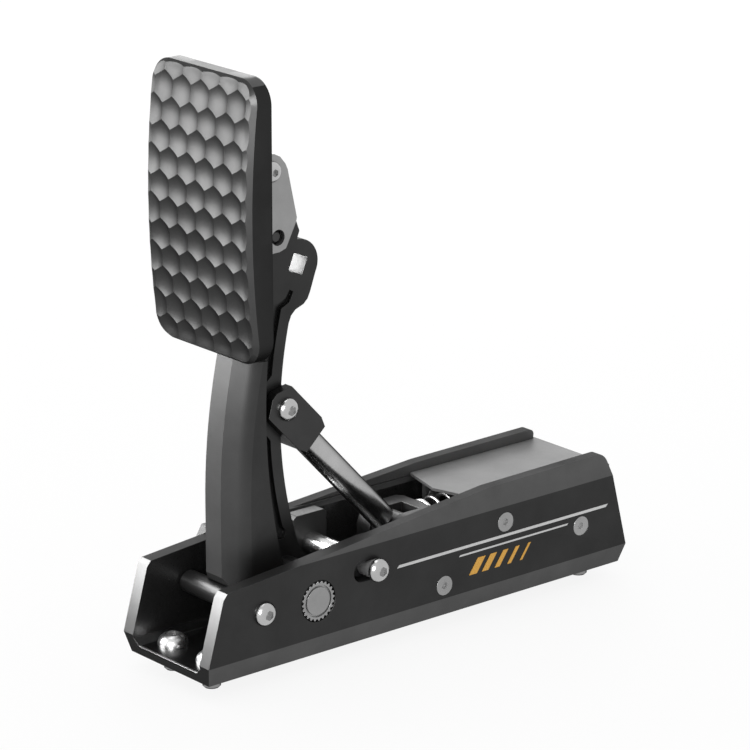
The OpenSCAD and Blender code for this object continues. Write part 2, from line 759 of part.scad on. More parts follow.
// The arm's front body: straight at the foot, then leaning back along an arc
module arm_body()
  intersection() {
    union() {
      translate([0, arm_y, toe_z - 4])
        linear_extrude(arm_bend_z - toe_z + 4)
          polygon(arm_section);
      translate([0, arm_y + arm_bend_r, arm_bend_z])
        rotate([90, 0, -90])
          rotate_extrude(angle = 24, $fn = 360)
            polygon([for (p = arm_section) [arm_bend_r - p[1], p[0]]]);
    }
    along_x(arm_w + 2)
      polygon(concat([[arm_y - 6, toe_z + 13], [arm_y + 3, toe_z], [57, toe_z]],
        edge(body_cy, body_cz, body_r, 42, 150, 18),
        [[48.4, 160], [44, 164], [arm_y - 6, 164]]));
  }

// The web behind the front body, with the heel, the lug and the head
module arm_web()
  difference() {
    along_x(rib_t)
      union() {
        polygon(concat([[40, toe_z + 4], [52, pivot_z]],
          edge(web_cy, web_cz, web_r, 38, 138, 24),
          [[64.2, 143.4], [65.6, 146.6], [68, 148.8], [72.4, 150.4], [74.6, 152.4], [76, 155.2], [79.4, 164.6],
            [head_y, head_z], [69.2, 180.2], [70.4, 183.1], [68.8, 187.4], [64, 198], [62.6, cheek_z]],
          arc([cheek_top_y, bracket_z], 6.4, 0, 180, 20),
          [[47, 168], [40, 150]]));
        translate([head_y, head_z])
          circle(r = head_r);
        translate([pivot_y, pivot_z])
          circle(r = heel_r);
        translate([lug_y, lug_z])
          circle(r = lug_r);
      }
    both_sides()
      between_x(rib_t / 2 - pocket_t, rib_t) {
        polygon(concat([[56, 47.6], [60.4, 47], [62, 50]],
          edge(web_cy, web_cz, web_r + rim_w, 53, 93, 10),
          [[52, 95.4], [44, 95.4], [44, 60]]));
        polygon(concat([[44, 119.6], [52, 119.6]],
          edge(web_cy, web_cz, web_r + rim_w, 122, 146, 8),
          [[60.2, 150.6], [64.6, 152.6], [66.8, 157], [64.8, 158.2], [62.6, 154.9], [58.6, 153.2], [52, 153.2], [44, 148]]));
      }
  }

module pedal_arm()
  color("#55585d") in_place()
    difference() {
      union() {
        arm_body();
        arm_web();
        x_rod(pivot_y, pivot_z, arm_w, -hub_half, hub_half);
      }
      both_sides()
        translate([arm_half - 1.2, 20, 132])
          cube([5, 40, 40]);
      x_rod(pivot_y, pivot_z, axle_d + 2 * fit_gap, -arm_w, arm_w);
      x_rod(lug_y, lug_z, bolt_d + 2 * run_gap, -arm_w, arm_w);
      x_rod(cheek_top_y, bracket_z, bracket_d + 2 * fit_gap, -arm_w, arm_w);
      x_rod(cheek_y, bracket_low_z, bracket_d + 2 * fit_gap, -arm_w, arm_w);
      translate([0, head_y, head_z])
        rotate([-22, 0, 0])
          cube([arm_w, square_w, square_w], center = true);
      translate([0, pivot_y, pivot_z - heel_r - 2])
        cylinder(d = grub_d + 2 * fit_gap, h = heel_r);
    }

module pad_bracket()
  color("#a9adb2") in_place()
    difference() {
      union() {
        translate([-plate_w / 2, pad_y, bracket_low_z - 8])
          cube([plate_w, plate_t, cheek_z - bracket_low_z + 19]);
        both_sides()
          between_x(cheek_in, cheek_out)
            polygon([[pad_y + 1, bracket_low_z - 8], [50, bracket_low_z - 6.6], [57, bracket_low_z - 6.4],
              [60.4, bracket_low_z - 5.3], [66, bracket_low_z + 5.4], [66.4, bracket_low_z + 7.2], [61.6, cheek_z + 2],
              [60.4, cheek_z + 4.6], [57.6, cheek_z + 8], [54.4, cheek_z + 9.6], [pad_y + 1, cheek_z + 11]]);
      }
      x_rod(cheek_top_y, bracket_z, bracket_d + 2 * fit_gap, -arm_w, arm_w);
      x_rod(cheek_y, bracket_low_z, bracket_d + 2 * fit_gap, -arm_w, arm_w);
      x_rod(cheek_y, bracket_low_z, bracket_d + 2, 0, arm_w);
      for (x = [-15, 15])
        for (z = [bracket_low_z + 1, cheek_z + 1])
          translate([x, pad_y + plate_t, z])
            rotate([-90, 0, 0])
              flush_hole(pad_screw_d, plate_t + 1, pad_screw_head);
    }

module bracket_bolts()
  color("#1f2023") in_place() {
    translate([cheek_out, cheek_top_y, bracket_z])
      rotate([0, 90, 0])
        button_bolt(bracket_d, 2 * cheek_out + 5, 9.4, 3, 3);
    translate([-cheek_out, cheek_y, bracket_low_z])
      rotate([0, -90, 0])
        button_bolt(bracket_d, 2 * cheek_out - 1.4, 9.4, 3, 3);
  }

module bracket_nut()
  color("#2b2c30") in_place()
    difference() {
      translate([-cheek_out - 4, cheek_top_y, bracket_z])
        rotate([0, 90, 0])
          cylinder(d = 8 / cos(30), h = 4, $fn = 6);
      x_rod(cheek_top_y, bracket_z, bracket_d + 2 * fit_gap, -arm_w, 0);
    }

pad_cy = pad_front + pad_bow;

corner_x = pad_w / 2 - pad_round;
corner_z = pad_h / 2 - pad_round;
corner_a = asin(corner_z / pad_bow);
bevel_y = pad_cy - sqrt(pad_bow * pad_bow - (pad_h / 2 - pad_bevel) * (pad_h / 2 - pad_bevel));

// A block with the pad's outline, a rectangle with round corners, in front of the rear face
module pad_prism()
  translate([0, pad_y, pad_z])
    rotate([90, 0, 0])
      linear_extrude(pad_t + 1)
        union() {
          square([2 * corner_x, pad_h], center = true);
          square([pad_w, 2 * corner_z], center = true);
          for (sx = [-1, 1])
            for (sz = [-1, 1])
              translate([sx * corner_x, sz * corner_z])
                circle(r = pad_round);
        }

// The bowed face with its bevels along the two long sides
module pad_sides()
  intersection() {
    translate([0, pad_cy, pad_z])
      rotate([0, 90, 0])
        rotate_extrude($fn = 720)
          polygon([[pad_bow - 40, -pad_w / 2], [pad_bow - pad_bevel, -pad_w / 2], [pad_bow, -pad_w / 2 + pad_bevel],
            [pad_bow, pad_w / 2 - pad_bevel], [pad_bow - pad_bevel, pad_w / 2], [pad_bow - 40, pad_w / 2]]);
    translate([-pad_w, pad_front - 2, pad_z - corner_z])
      cube([2 * pad_w, pad_t + 2, 2 * corner_z]);
  }

// The part between the corners, with the bevels along the top and the bottom
module pad_ends()
  translate([0, 0, pad_z])
    along_x(2 * corner_x)
      polygon([[pad_y, -pad_h / 2], [pad_y, pad_h / 2], [bevel_y + pad_bevel, pad_h / 2],
        [bevel_y, pad_h / 2 - pad_bevel], [pad_front - 2, pad_h / 2 - pad_bevel - (bevel_y - pad_front + 2)],
        [pad_front - 2, -pad_h / 2 + pad_bevel + (bevel_y - pad_front + 2)], [bevel_y, -pad_h / 2 + pad_bevel],
        [bevel_y + pad_bevel, -pad_h / 2]]);

// One upper corner: a cone square to the bowed face
module pad_corner()
  intersection() {
    translate([corner_x, pad_cy - pad_bow * cos(corner_a), pad_z + pad_bow * sin(corner_a)])
      rotate([-90 - corner_a, 0, 0])
        translate([0, 0, -1])
          cylinder(r1 = pad_round - pad_bevel - 1, r2 = pad_round - pad_bevel + 15, h = 16);
    translate([corner_x, pad_front - 2, pad_z + corner_z])
      cube([pad_round + 1, pad_t + 2, pad_round + 1]);
  }

module pedal_pad()
  color("#26272a") in_place()
    difference() {
      intersection() {
        pad_prism();
        x_rod(pad_cy, pad_z, 2 * pad_bow, -pad_w, pad_w, $fn = 720);
        union() {
          pad_sides();
          pad_ends();
          both_sides() {
            pad_corner();
            translate([0, 0, 2 * pad_z])
              mirror([0, 0, 1])
                pad_corner();
          }
        }
      }
      for (row = [-6 : 6])
        for (i = [-3 : 3])
          let (a = (row * row_h - 3.3) / pad_bow, x = (i + (row % 2 == 0 ? 0.5 : 0)) * cell_w)
            if (abs(x) < pad_w / 2 + cell_w / 2)
              translate([x, pad_cy - (pad_bow + dish_r - cell_t) * cos(a * 180 / PI),
                pad_z + (pad_bow + dish_r - cell_t) * sin(a * 180 / PI)])
                sphere(r = dish_r);
      for (x = [-15, 15])
        for (z = [bracket_low_z + 1, cheek_z + 1])
          translate([x, pad_y + 1, z])
            rotate([90, 0, 0])
              cylinder(d = pad_screw_d + 2 * fit_gap, h = pad_screw_in + 1.5);
    }

module pad_screws()
  color("#c3c6ca") in_place()
    for (x = [-15, 15])
      for (z = [bracket_low_z + 1, cheek_z + 1])
        translate([x, pad_y + plate_t, z])
          rotate([-90, 0, 0])
            flush_screw(pad_screw_d, plate_t + pad_screw_in, pad_screw_head, 2.5);

module push_clevis()
  color("#2a2b2f") in_place()
    in_strut()
      difference() {
        along_x(clevis_w)
          polygon([[-9.2, -1.6], [-5, -clevis_h / 2], [18.8, -clevis_h / 2], [23.4, -clevis_h / 2 + 1.8],
            [23.4, clevis_h / 2 - 1.8], [18.8, clevis_h / 2], [-5, clevis_h / 2], [-9.2, 1.6]]);
        translate([-clevis_slot / 2, -20, -20])
          cube([clevis_slot, 20 + lug_r + 1.4, 40]);
        x_rod(0, 0, bolt_d + 2 * fit_gap, -clevis_w, clevis_w);
        translate([0, lug_r + 3.6, 0])
          rotate([-90, 0, 0])
            cylinder(d = rod_d + 2 * fit_gap, h = 30);
      }

module clevis_bolt()
  color("#1c1d20") in_place()
    translate([clevis_w / 2, lug_y, lug_z])
      rotate([0, 90, 0])
        button_bolt(bolt_d, clevis_w + 6, 10.5, button_h, 4);

module clevis_nut()
  color("#2b2c30") in_place()
    difference() {
      translate([-clevis_w / 2 - 5, lug_y, lug_z])
        rotate([0, 90, 0])
          cylinder(d = 10 / cos(30), h = 5, $fn = 6);
      x_rod(lug_y, lug_z, bolt_d + 2 * fit_gap, -clevis_w, 0);
    }

module push_rod()
  color("#5d6066") in_place()
    in_strut()
      translate([0, lug_r + 3.6, 0])
        rotate([-90, 0, 0])
          difference() {
            rotate_extrude()
              polygon([[0, 0], [rod_d / 2, 0], [rod_d / 2, rod_l - 0.8], [rod_d / 2 - 0.8, rod_l], [0, rod_l]]);
            translate([0, 0, rod_l - shank_in - 1])
              cylinder(d = shank_d + 2 * fit_gap, h = shank_in + 2);
          }

module rod_end()
  color("#b4b7bb") in_place()
    in_strut()
      difference() {
        union() {
          x_rod(strut_l, 0, 2 * eye_r, -eye_w / 2, eye_w / 2);
          translate([0, strut_l - rod_set - shank_in, 0])
            rotate([-90, 0, 0])
              cylinder(d = shank_d, h = shank_in + rod_set - 4);
        }
        x_rod(strut_l, 0, pin_d + 2 * eye_play + 3.2, -eye_w, eye_w);
      }

module eye_bush()
  color("#b08d57") in_place()
    in_strut()
      difference() {
        x_rod(strut_l, 0, pin_d + 2 * eye_play + 3, -eye_w / 2, eye_w / 2);
        x_rod(strut_l, 0, pin_d + 2 * eye_play, -eye_w, eye_w);
      }

module spring_yoke()
  color("#33353a") in_place()
    difference() {
      union() {
        intersection() {
          along_x(yoke_w)
            polygon(concat([[yoke_rear, yoke_low], [yoke_rear, yoke_z + yoke_top]],
              arc([yoke_y, yoke_z], yoke_top, 90, 180, 10),
              [[yoke_y - yoke_top, yoke_low + 3], [yoke_y - yoke_top + 3, yoke_low]]));
          translate([0, 0, yoke_low - 5])
            linear_extrude(60)
              polygon([[-yoke_w / 2, yoke_y - 20], [yoke_w / 2, yoke_y - 20], [yoke_w / 2, yoke_rear - 2.4],
                [yoke_w / 2 - 2.8, yoke_rear], [-yoke_w / 2 + 2.8, yoke_rear], [-yoke_w / 2, yoke_rear - 2.4]]);
        }
        translate([-tongue_w / 2, yoke_y - 6, yoke_low - 3.9])
          cube([tongue_w, yoke_back + 4, 5]);
      }
      translate([-yoke_slot / 2, yoke_y - 20, yoke_z - eye_r - 2])
        cube([yoke_slot, 20 + eye_r + 1.2, 30]);
      x_rod(yoke_y, yoke_z, pin_d + 2 * fit_gap, -yoke_w, yoke_w);
      translate([0, yoke_rear + 1, yoke_z])
        rotate([90, 0, 0])
          cylinder(d = guide_d + 2 * fit_gap, h = yoke_back - eye_r);
    }

module yoke_pin()
  color("#c8cbcf") in_place()
    x_rod(yoke_y, yoke_z, pin_d, -yoke_w / 2, yoke_w / 2);

module guide_rod()
  color("#9ea1a6") in_place()
    translate([0, yoke_rear - guide_in, yoke_z])
      rotate([-90, 0, 0])
        cylinder(d = guide_d, h = anchor_front + guide_past - yoke_rear + guide_in);

// The node to draw, or all of them

chassis_channel();
deck_cover();
side_screws();
rest_rod();
rest_bolts();
axle_bushes();
sensor_cover();
sensor_screws();
sensor_board();
signal_socket();
slide_block();
spring_anchor();
spring_seat();
return_spring();
floor_bolts();
cross_bar();
bar_carriers();
slot_bushes();
slot_bolts();
pedal_arm();
pivot_axle();
axle_magnet();
pivot_cap();
axle_grub();
pivot_spacers();
pad_bracket();
bracket_bolts();
bracket_nut();
pedal_pad();
pad_screws();
push_clevis();
clevis_bolt();
clevis_nut();
push_rod();
rod_end();
eye_bush();
spring_yoke();
yoke_pin();
guide_rod();
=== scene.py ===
"""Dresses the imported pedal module: soft-edged metal skins, a dished pad, a wound spring, printed trim,
procedural finishes, studio light and the camera."""
import json
import math

import bmesh
import bpy
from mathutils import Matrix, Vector


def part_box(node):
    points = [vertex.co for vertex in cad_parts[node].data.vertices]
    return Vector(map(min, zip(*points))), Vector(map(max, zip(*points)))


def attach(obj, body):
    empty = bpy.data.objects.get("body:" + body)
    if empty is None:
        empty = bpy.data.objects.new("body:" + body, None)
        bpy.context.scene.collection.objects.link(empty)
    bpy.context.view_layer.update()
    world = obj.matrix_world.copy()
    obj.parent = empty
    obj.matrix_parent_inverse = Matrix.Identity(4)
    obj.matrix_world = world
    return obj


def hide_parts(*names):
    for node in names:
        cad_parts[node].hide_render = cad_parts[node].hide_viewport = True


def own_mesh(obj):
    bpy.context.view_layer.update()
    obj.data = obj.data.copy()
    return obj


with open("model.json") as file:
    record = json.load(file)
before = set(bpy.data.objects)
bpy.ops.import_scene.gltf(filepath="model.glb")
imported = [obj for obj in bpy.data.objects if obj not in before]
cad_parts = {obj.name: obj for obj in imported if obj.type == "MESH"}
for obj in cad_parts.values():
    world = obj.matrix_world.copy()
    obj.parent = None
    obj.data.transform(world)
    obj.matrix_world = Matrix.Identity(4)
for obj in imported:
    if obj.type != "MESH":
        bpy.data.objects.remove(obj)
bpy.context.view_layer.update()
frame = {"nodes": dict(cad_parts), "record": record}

MM = 0.001

# Camera, fitted to the channel's edges
CAMERA_PLACE = (1.22073, -1.03532, 0.61918)
CAMERA_TILT = (72.498, 0.0, 49.816)
CAMERA_LENS = 183.9
CAMERA_SENSOR = 36
CAMERA_REACH = 20

# Node to body and node to material slot, from the record
BODY = {n: b for b, nodes in frame["record"]["behaviour"]["bodies"].items() for n in nodes}
SLOT = {s["node"]: s["material_slot"] for s in frame["record"]["subparts"]}


# Materials

# The middle range of a noise, which tone and gloss follow
NOISE_LOW = 0.3
NOISE_HIGH = 0.7
NOISE_ROUGH = 0.6
# Slow changes of tone, and the detail of the fine grain
BROAD_SCALE = 38.0
BROAD_DETAIL = 5.0
FINE_DETAIL = 3.0
# How far tone and gloss vary, and how strongly the grain shows in the relief
TONE_VARY = 0.12
PLAIN_VARY = 0.05
GLOSS_VARY = 0.05
RELIEF_STRENGTH = 0.25


def new_material(name, metallic, specular=0.5):
    """A material with one Principled shader, and its node tree."""
    mat = bpy.data.materials.new(name)
    mat.use_nodes = True
    shader = mat.node_tree.nodes["Principled BSDF"]
    shader.inputs["Metallic"].default_value = metallic
    shader.inputs["Specular IOR Level"].default_value = specular
    return mat, mat.node_tree, shader


def noise(tree, scale, detail):
    """A noise texture's value, in object coordinates."""
    coords = tree.nodes.new("ShaderNodeTexCoord")
    tex = tree.nodes.new("ShaderNodeTexNoise")
    tex.inputs["Scale"].default_value = scale
    tex.inputs["Detail"].default_value = detail
    tex.inputs["Roughness"].default_value = NOISE_ROUGH
    tree.links.new(coords.outputs["Object"], tex.inputs["Vector"])
    return tex.outputs["Fac"]


def ramp(tree, value, low, high):
    """Colours from low to high over the middle range of a noise."""
    node = tree.nodes.new("ShaderNodeValToRGB")
    start, end = node.color_ramp.elements
    start.position = NOISE_LOW
    start.color = (*low, 1)
    end.position = NOISE_HIGH
    end.color = (*high, 1)
    tree.links.new(value, node.inputs["Fac"])
    return node.outputs["Color"]


def span(tree, value, low, high):
    """The middle range of a noise mapped onto another range."""
    node = tree.nodes.new("ShaderNodeMapRange")
    node.inputs["From Min"].default_value = NOISE_LOW
    node.inputs["From Max"].default_value = NOISE_HIGH
    node.inputs["To Min"].default_value = low
    node.inputs["To Max"].default_value = high
    tree.links.new(value, node.inputs["Value"])
    return node.outputs["Result"]


def add_relief(tree, shader, value, depth):
    """Fine relief on the shader's normal."""
    node = tree.nodes.new("ShaderNodeBump")
    node.inputs["Strength"].default_value = RELIEF_STRENGTH
    node.inputs["Distance"].default_value = depth * MM
    tree.links.new(value, node.inputs["Height"])
    tree.links.new(node.outputs["Normal"], shader.inputs["Normal"])


def finish_material(name, tone, metallic, rough, grain, depth, edge=1.0, vary=TONE_VARY, tint=(1, 1, 1)):
    """A surface with slight changes of tone and gloss, and a grain with a scale and a depth in millimetres.
    The edge is the tint of its reflections at grazing angles."""
    mat, tree, shader = new_material(name, metallic)
    shader.inputs["Specular Tint"].default_value = (edge, edge, edge, 1)
    broad = noise(tree, BROAD_SCALE, BROAD_DETAIL)
    fine = noise(tree, grain, FINE_DETAIL)
    low = [tone * (1 - vary) * t for t in tint]
    high = [tone * (1 + vary) * t for t in tint]
    tree.links.new(ramp(tree, broad, low, high), shader.inputs["Base Color"])
    tree.links.new(span(tree, fine, rough - GLOSS_VARY, rough + GLOSS_VARY), shader.inputs["Roughness"])
    add_relief(tree, shader, fine, depth)
    return mat


# One finish for each slot: tone, metallic share, roughness, scale of the grain and its depth
MATERIALS = {
    "channel_black": finish_material("channel_black", 0.092, 0.95, 0.36, 2600, 0.04, edge=0.25),
    "deck_grey": finish_material("deck_grey", 0.215, 0.0, 0.6, 2400, 0.04, edge=0.5),
    "arm_black": finish_material("arm_black", 0.05, 0.95, 0.38, 2600, 0.04, edge=0.4),
    "pad_black": finish_material("pad_black", 0.038, 0.95, 0.4, 2200, 0.04, edge=0.35),
    "bracket_grey": finish_material("bracket_grey", 0.3, 0.8, 0.45, 2400, 0.04),
    "black_steel": finish_material("black_steel", 0.05, 0.7, 0.32, 1800, 0.03),
    "bright_steel": finish_material("bright_steel", 0.72, 1.0, 0.22, 900, 0.02),
    "bolt_steel": finish_material("bolt_steel", 0.46, 1.0, 0.2, 1200, 0.02),
    "screw_grey": finish_material("screw_grey", 0.32, 0.8, 0.4, 1500, 0.03),
    "rod_dark": finish_material("rod_dark", 0.42, 1.0, 0.2, 900, 0.01, edge=0.0),
    "foot_chrome": finish_material("foot_chrome", 0.5, 1.0, 0.3, 900, 0.01, vary=0.04),
    "cap_grey": finish_material("cap_grey", 0.29, 0.9, 0.36, 1800, 0.03),
    "black_plastic": finish_material("black_plastic", 0.022, 0.0, 0.5, 1500, 0.05),
    "bronze": finish_material("bronze", 0.5, 1.0, 0.35, 1800, 0.03, tint=(1, 0.72, 0.4)),
    "board_green": finish_material("board_green", 0.12, 0.0, 0.35, 900, 0.02, tint=(0.2, 1, 0.4)),
    "socket_ivory": finish_material("socket_ivory", 0.6, 0.0, 0.45, 1500, 0.03, tint=(1, 0.95, 0.8)),
}

# Finishes of single parts, in the same order of values
# Painted shade: a darker copy of the channel's coat on its flat outer wall faces and on its faces that look
# down at front and rear
WALL_SHADE_COAT = finish_material("wall_painted_shade", 0.042, 0.95, 0.42, 2600, 0.04, edge=0.2)
# Painted shade: a darker, glossier copy of the channel's coat on the lower inner walls
INNER_SHADE_COAT = finish_material("inner", 0.075, 0.85, 0.3, 2600, 0.04)
# Painted light: a lighter, more diffuse copy of the channel's coat on the upper inner walls
INNER_LIGHT_COAT = finish_material("inner_painted_light", 0.1, 0.2, 0.5, 2600, 0.04)
INNER_FLOOR = finish_material("inner_floor", 0.09, 0.95, 0.22, 2600, 0.03)
# Painted light: a lighter copy of the channel's coat on its faces that look forward and up
NOSE_LIGHT_COAT = finish_material("nose_painted_light", 0.096, 0.95, 0.4, 2600, 0.04, edge=0.25)
# Painted highlight: a pale metal on the chamfer along the floor's front edge
EDGE_HIGHLIGHT_COAT = finish_material("edge_painted_highlight", 0.55, 1.0, 0.3, 2600, 0.02)
# Painted light: a lighter copy of the arm's coat on its front
ARM_FRONT_LIGHT_COAT = finish_material("arm_front_painted_light", 0.069, 0.95, 0.46, 2600, 0.04, edge=0.4)
# Painted shade: a darker copy of the arm's coat on its flat sides
ARM_SIDE_SHADE_COAT = finish_material("arm_side_painted_shade", 0.041, 0.95, 0.38, 2600, 0.04, edge=0.4)
# Painted light: a pale, diffuse coat inside the arm's square hole
SQUARE_LIGHT_COAT = finish_material("square", 0.27, 0.2, 0.45, 1500, 0.03)
# Painted shade: a darker copy of the pad's coat on its sides and rear
PAD_SIDE_SHADE = finish_material("pad_side_painted_shade", 0.03, 0.95, 0.42, 2200, 0.04, edge=0.2)
# Painted light: a lighter copy of the pad's coat on its upper side
PAD_TOP_LIGHT = finish_material("pad_top_painted_light", 0.095, 0.95, 0.4, 2200, 0.04, edge=0.7)
# Painted light: a lighter copy of the pad's coat on the face's bevel where it looks sideways
PAD_EDGE_LIGHT = finish_material("pad_edge_painted_light", 0.05, 0.95, 0.4, 2200, 0.04, edge=0.35)
# Painted light: a lighter copy of the arm's coat for the yoke, whose top faces catch the light
YOKE_LIGHT_COAT = finish_material("yoke", 0.1, 0.95, 0.38, 2600, 0.04, edge=0.5)
# Painted light: a pale, diffuse coat inside the screws' sockets
SOCKET_LIGHT_COAT = finish_material("socket", 0.5, 0.2, 0.45, 1500, 0.03)
# Painted shade and painted dark reflections: a darker chrome on the floor bolts' studs below the channel
STUD_SHADE_COAT = finish_material("stud_painted_shade", 0.25, 1.0, 0.12, 900, 0.01, edge=0.0)
EYE = finish_material("eye", 0.06, 1.0, 0.4, 900, 0.02)
WIRE = finish_material("wire", 0.5, 1.0, 0.3, 900, 0.02)
SLEEVE = finish_material("sleeve", 0.45, 0.5, 0.4, 900, 0.02)
TRIM_SILVER = finish_material("trim_silver", 0.6, 0.2, 0.4, 1800, 0.01, vary=PLAIN_VARY)
TRIM_AMBER = finish_material(
    "trim_amber", 0.7, 0.1, 0.42, 1800, 0.01, vary=PLAIN_VARY, tint=(1, 0.52, 0.07))

# Nodes whose finish isn't their slot's
NODE_FINISH = {
    # The yoke's coat is painted light: a lighter copy of the arm's
    "rod_end": EYE, "yoke_pin": EYE, "spring_yoke": YOKE_LIGHT_COAT, "slot_bushes": SLEEVE, "return_spring": WIRE,
}


# Skins: soft-edged copies of the solids

# Distance in millimetres under which corners are joined
WELD = 0.002
# Angles in degrees: faces nearer than the first are merged, and edges beyond the second are sharp
FLAT_ANGLE = 0.4
SHARP_ANGLE = 28
BEVEL_STEPS = 2
SHADING_LAYERS = ("custom_normal", "sharp_edge", "sharp_face")

# Rounding of each node's sharp edges, in millimetres
EDGES = {
    "chassis_channel": 0.8, "deck_cover": 0.3, "pedal_arm": 0.6, "pad_bracket": 0.8, "push_clevis": 0.5,
    "spring_yoke": 0.5, "slide_block": 0.4, "spring_anchor": 0.5, "bar_carriers": 0.5, "sensor_cover": 0.5,
    "side_screws": 0.15, "rest_bolts": 0.0, "slot_bolts": 0.0, "floor_bolts": 0.0,
    "clevis_bolt": 0.0, "bracket_bolts": 0.0, "pivot_cap": 0.12, "rest_rod": 0.2,
    "cross_bar": 0.2, "slot_bushes": 0.2, "push_rod": 0.2, "rod_end": 0.6, "clevis_nut": 0.3,
    "bracket_nut": 0.3, "axle_bushes": 0.15, "pivot_spacers": 0.2, "guide_rod": 0.3, "yoke_pin": 0.3,
    "spring_seat": 0.2, "pad_screws": 0.15, "sensor_screws": 0.12, "signal_socket": 0.15, "eye_bush": 0.15,
    "pivot_axle": 0.0, "axle_magnet": 0.0, "axle_grub": 0.0, "sensor_board": 0.0,
}


def finish_mesh(obj, node):
    """Body, slot and material of a piece that stands for a node."""
    obj.data.materials.clear()
    obj.data.materials.append(NODE_FINISH.get(node, MATERIALS[SLOT[node]]))
    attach(obj, BODY[node])
    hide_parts(node)
    return obj


def link_piece(name, mesh):
    """A new object in the scene."""
    obj = bpy.data.objects.new(name, mesh)
    bpy.context.scene.collection.objects.link(obj)
    return obj


def skin(node, edge):
    """A copy of a node's solid with its sharp edges rounded by edge millimetres."""
    mesh = frame["nodes"][node].data.copy()
    mesh.name = node + "_skin"
    obj = link_piece(node + "_skin", mesh)
    work = bmesh.new()
    work.from_mesh(mesh)
    bmesh.ops.remove_doubles(work, verts=work.verts, dist=WELD * MM)
    bmesh.ops.dissolve_limit(work, angle_limit=math.radians(FLAT_ANGLE), verts=work.verts, edges=work.edges)
    for face in work.faces:
        face.smooth = True
    work.to_mesh(mesh)
    work.free()
    for layer in list(mesh.attributes):
        if layer.name in SHADING_LAYERS:
            mesh.attributes.remove(layer)
    mesh.set_sharp_from_angle(angle=math.radians(SHARP_ANGLE))
    if edge > 0:
        bevel = obj.modifiers.new("edges", "BEVEL")
        bevel.width = edge * MM
        bevel.segments = BEVEL_STEPS
        bevel.limit_method = "ANGLE"
        bevel.angle_limit = math.radians(SHARP_ANGLE)
        bevel.use_clamp_overlap = True
        bevel.harden_normals = True
    return finish_mesh(obj, node)


SKINS = {node: skin(node, edge) for node, edge in EDGES.items()}


# Coats: more than one finish on some skins

# The channel's parts, as indices of their materials: its coat, and lit and shaded copies of it with painted
# shade and painted light
COAT, WALL_SHADE, INSIDE_SHADE, FLOOR, FRONT_LIGHT, EDGE_HIGHLIGHT, UPPER_LIGHT = range(7)
# Limits above the channel's underside: for its floor, and for the lower coat of its inner walls, with
# painted shade below it and painted light above
FLOOR_TOP = 9.0
INNER_TOP = 38.0
# The edge with a painted highlight: how far behind the channel's front it may lie, its chamfer, and how
# level it is
FRONT_REACH = 9.0
EDGE_CHAMFER = 1.2
LEVEL = 0.1
# How near the outer side a wall's face lies
WALL_DEPTH = 0.5
# How much of a face's normal lies along an axis
TRUE_FACE = 0.995
MAIN_FACE = 0.9
UPWARD = 0.5
FORWARD = 0.35
LEANS = 0.1

# The arm's parts, from their normals, and the square hole in its head: painted light on its front and in
# the hole, painted shade on its flat sides
ARM_COAT, ARM_FRONT_LIT, ARM_FLANK_SHADED, ARM_HOLE_LIT = range(4)
ARM_FLAT = 0.97
ARM_NARROW = 0.3
SQUARE_Y = -51.6
SQUARE_Z = 172.2
SQUARE_REACH = 5.0

# Index of a second material, and how far behind the screws' faces the painted light in their sockets starts
SECOND_COAT = 1
LIT_SOCKET_DEPTH = 0.3


def channel_part(face, low, high):
    """Which part of the channel a face belongs to."""
    n = face.normal
    at = face.calc_center_median()
    # Painted shade on the flat outer wall faces and on the faces that look down at front and rear
    if abs(n.x) > TRUE_FACE and abs(at.x) > high[0] - WALL_DEPTH * MM:
        return WALL_SHADE
    if abs(n.y) > MAIN_FACE and n.z < -LEANS:
        return WALL_SHADE
    # Painted shade on the lower inner walls, painted light on the upper ones
    if abs(n.x) > MAIN_FACE and n.x * at.x < 0:
        return INSIDE_SHADE if at.z < low[2] + INNER_TOP * MM else UPPER_LIGHT
    if n.z > UPWARD and abs(n.y) < LEANS and at.z < low[2] + FLOOR_TOP * MM:
        return FLOOR
    # Painted light on the faces that look forward and up
    if n.y < -FORWARD and n.z > 0:
        return FRONT_LIGHT
    return COAT


def is_front_edge(edge, low):
    """Whether an edge is the level one between the channel's front face and its floor."""
    one, two = edge.verts
    near = all(v.co.y < low[1] + FRONT_REACH * MM and v.co.z < low[2] + FLOOR_TOP * MM for v in edge.verts)
    level = abs(one.co.z - two.co.z) < LEVEL * MM
    parts = [face.material_index for face in edge.link_faces]
    return near and level and sorted(parts) == [WALL_SHADE, FLOOR]


def dress_channel(obj):
    """Lit and shaded copies of the coat on the channel's parts, as painted light and painted shade, and a
    painted highlight on a chamfer at the front of its floor.
    """
    low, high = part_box("chassis_channel")
    for material in (WALL_SHADE_COAT, INNER_SHADE_COAT, INNER_FLOOR, NOSE_LIGHT_COAT, EDGE_HIGHLIGHT_COAT, INNER_LIGHT_COAT):
        obj.data.materials.append(material)
    work = bmesh.new()
    work.from_mesh(obj.data)
    for face in work.faces:
        face.material_index = channel_part(face, low, high)
    front = [edge for edge in work.edges if is_front_edge(edge, low)]
    # A chamfer along the floor's front edge, with a painted highlight
    bmesh.ops.bevel(work, geom=front, offset=EDGE_CHAMFER * MM, segments=1, affect="EDGES", material=EDGE_HIGHLIGHT)
    work.to_mesh(obj.data)
    work.free()


def arm_part(face):
    """Which part of the arm a face belongs to."""
    off_y = face.center.y - SQUARE_Y * MM
    off_z = face.center.z - SQUARE_Z * MM
    # Painted light on the inner faces of the square hole
    if abs(face.normal.x) < LEANS and math.hypot(off_y, off_z) < SQUARE_REACH * MM:
        return ARM_HOLE_LIT
    # Painted light on the faces that look forward, painted shade on the flat sides
    if face.normal.y < 0 and abs(face.normal.x) < ARM_NARROW:
        return ARM_FRONT_LIT
    if abs(face.normal.x) > ARM_FLAT:
        return ARM_FLANK_SHADED
    return ARM_COAT


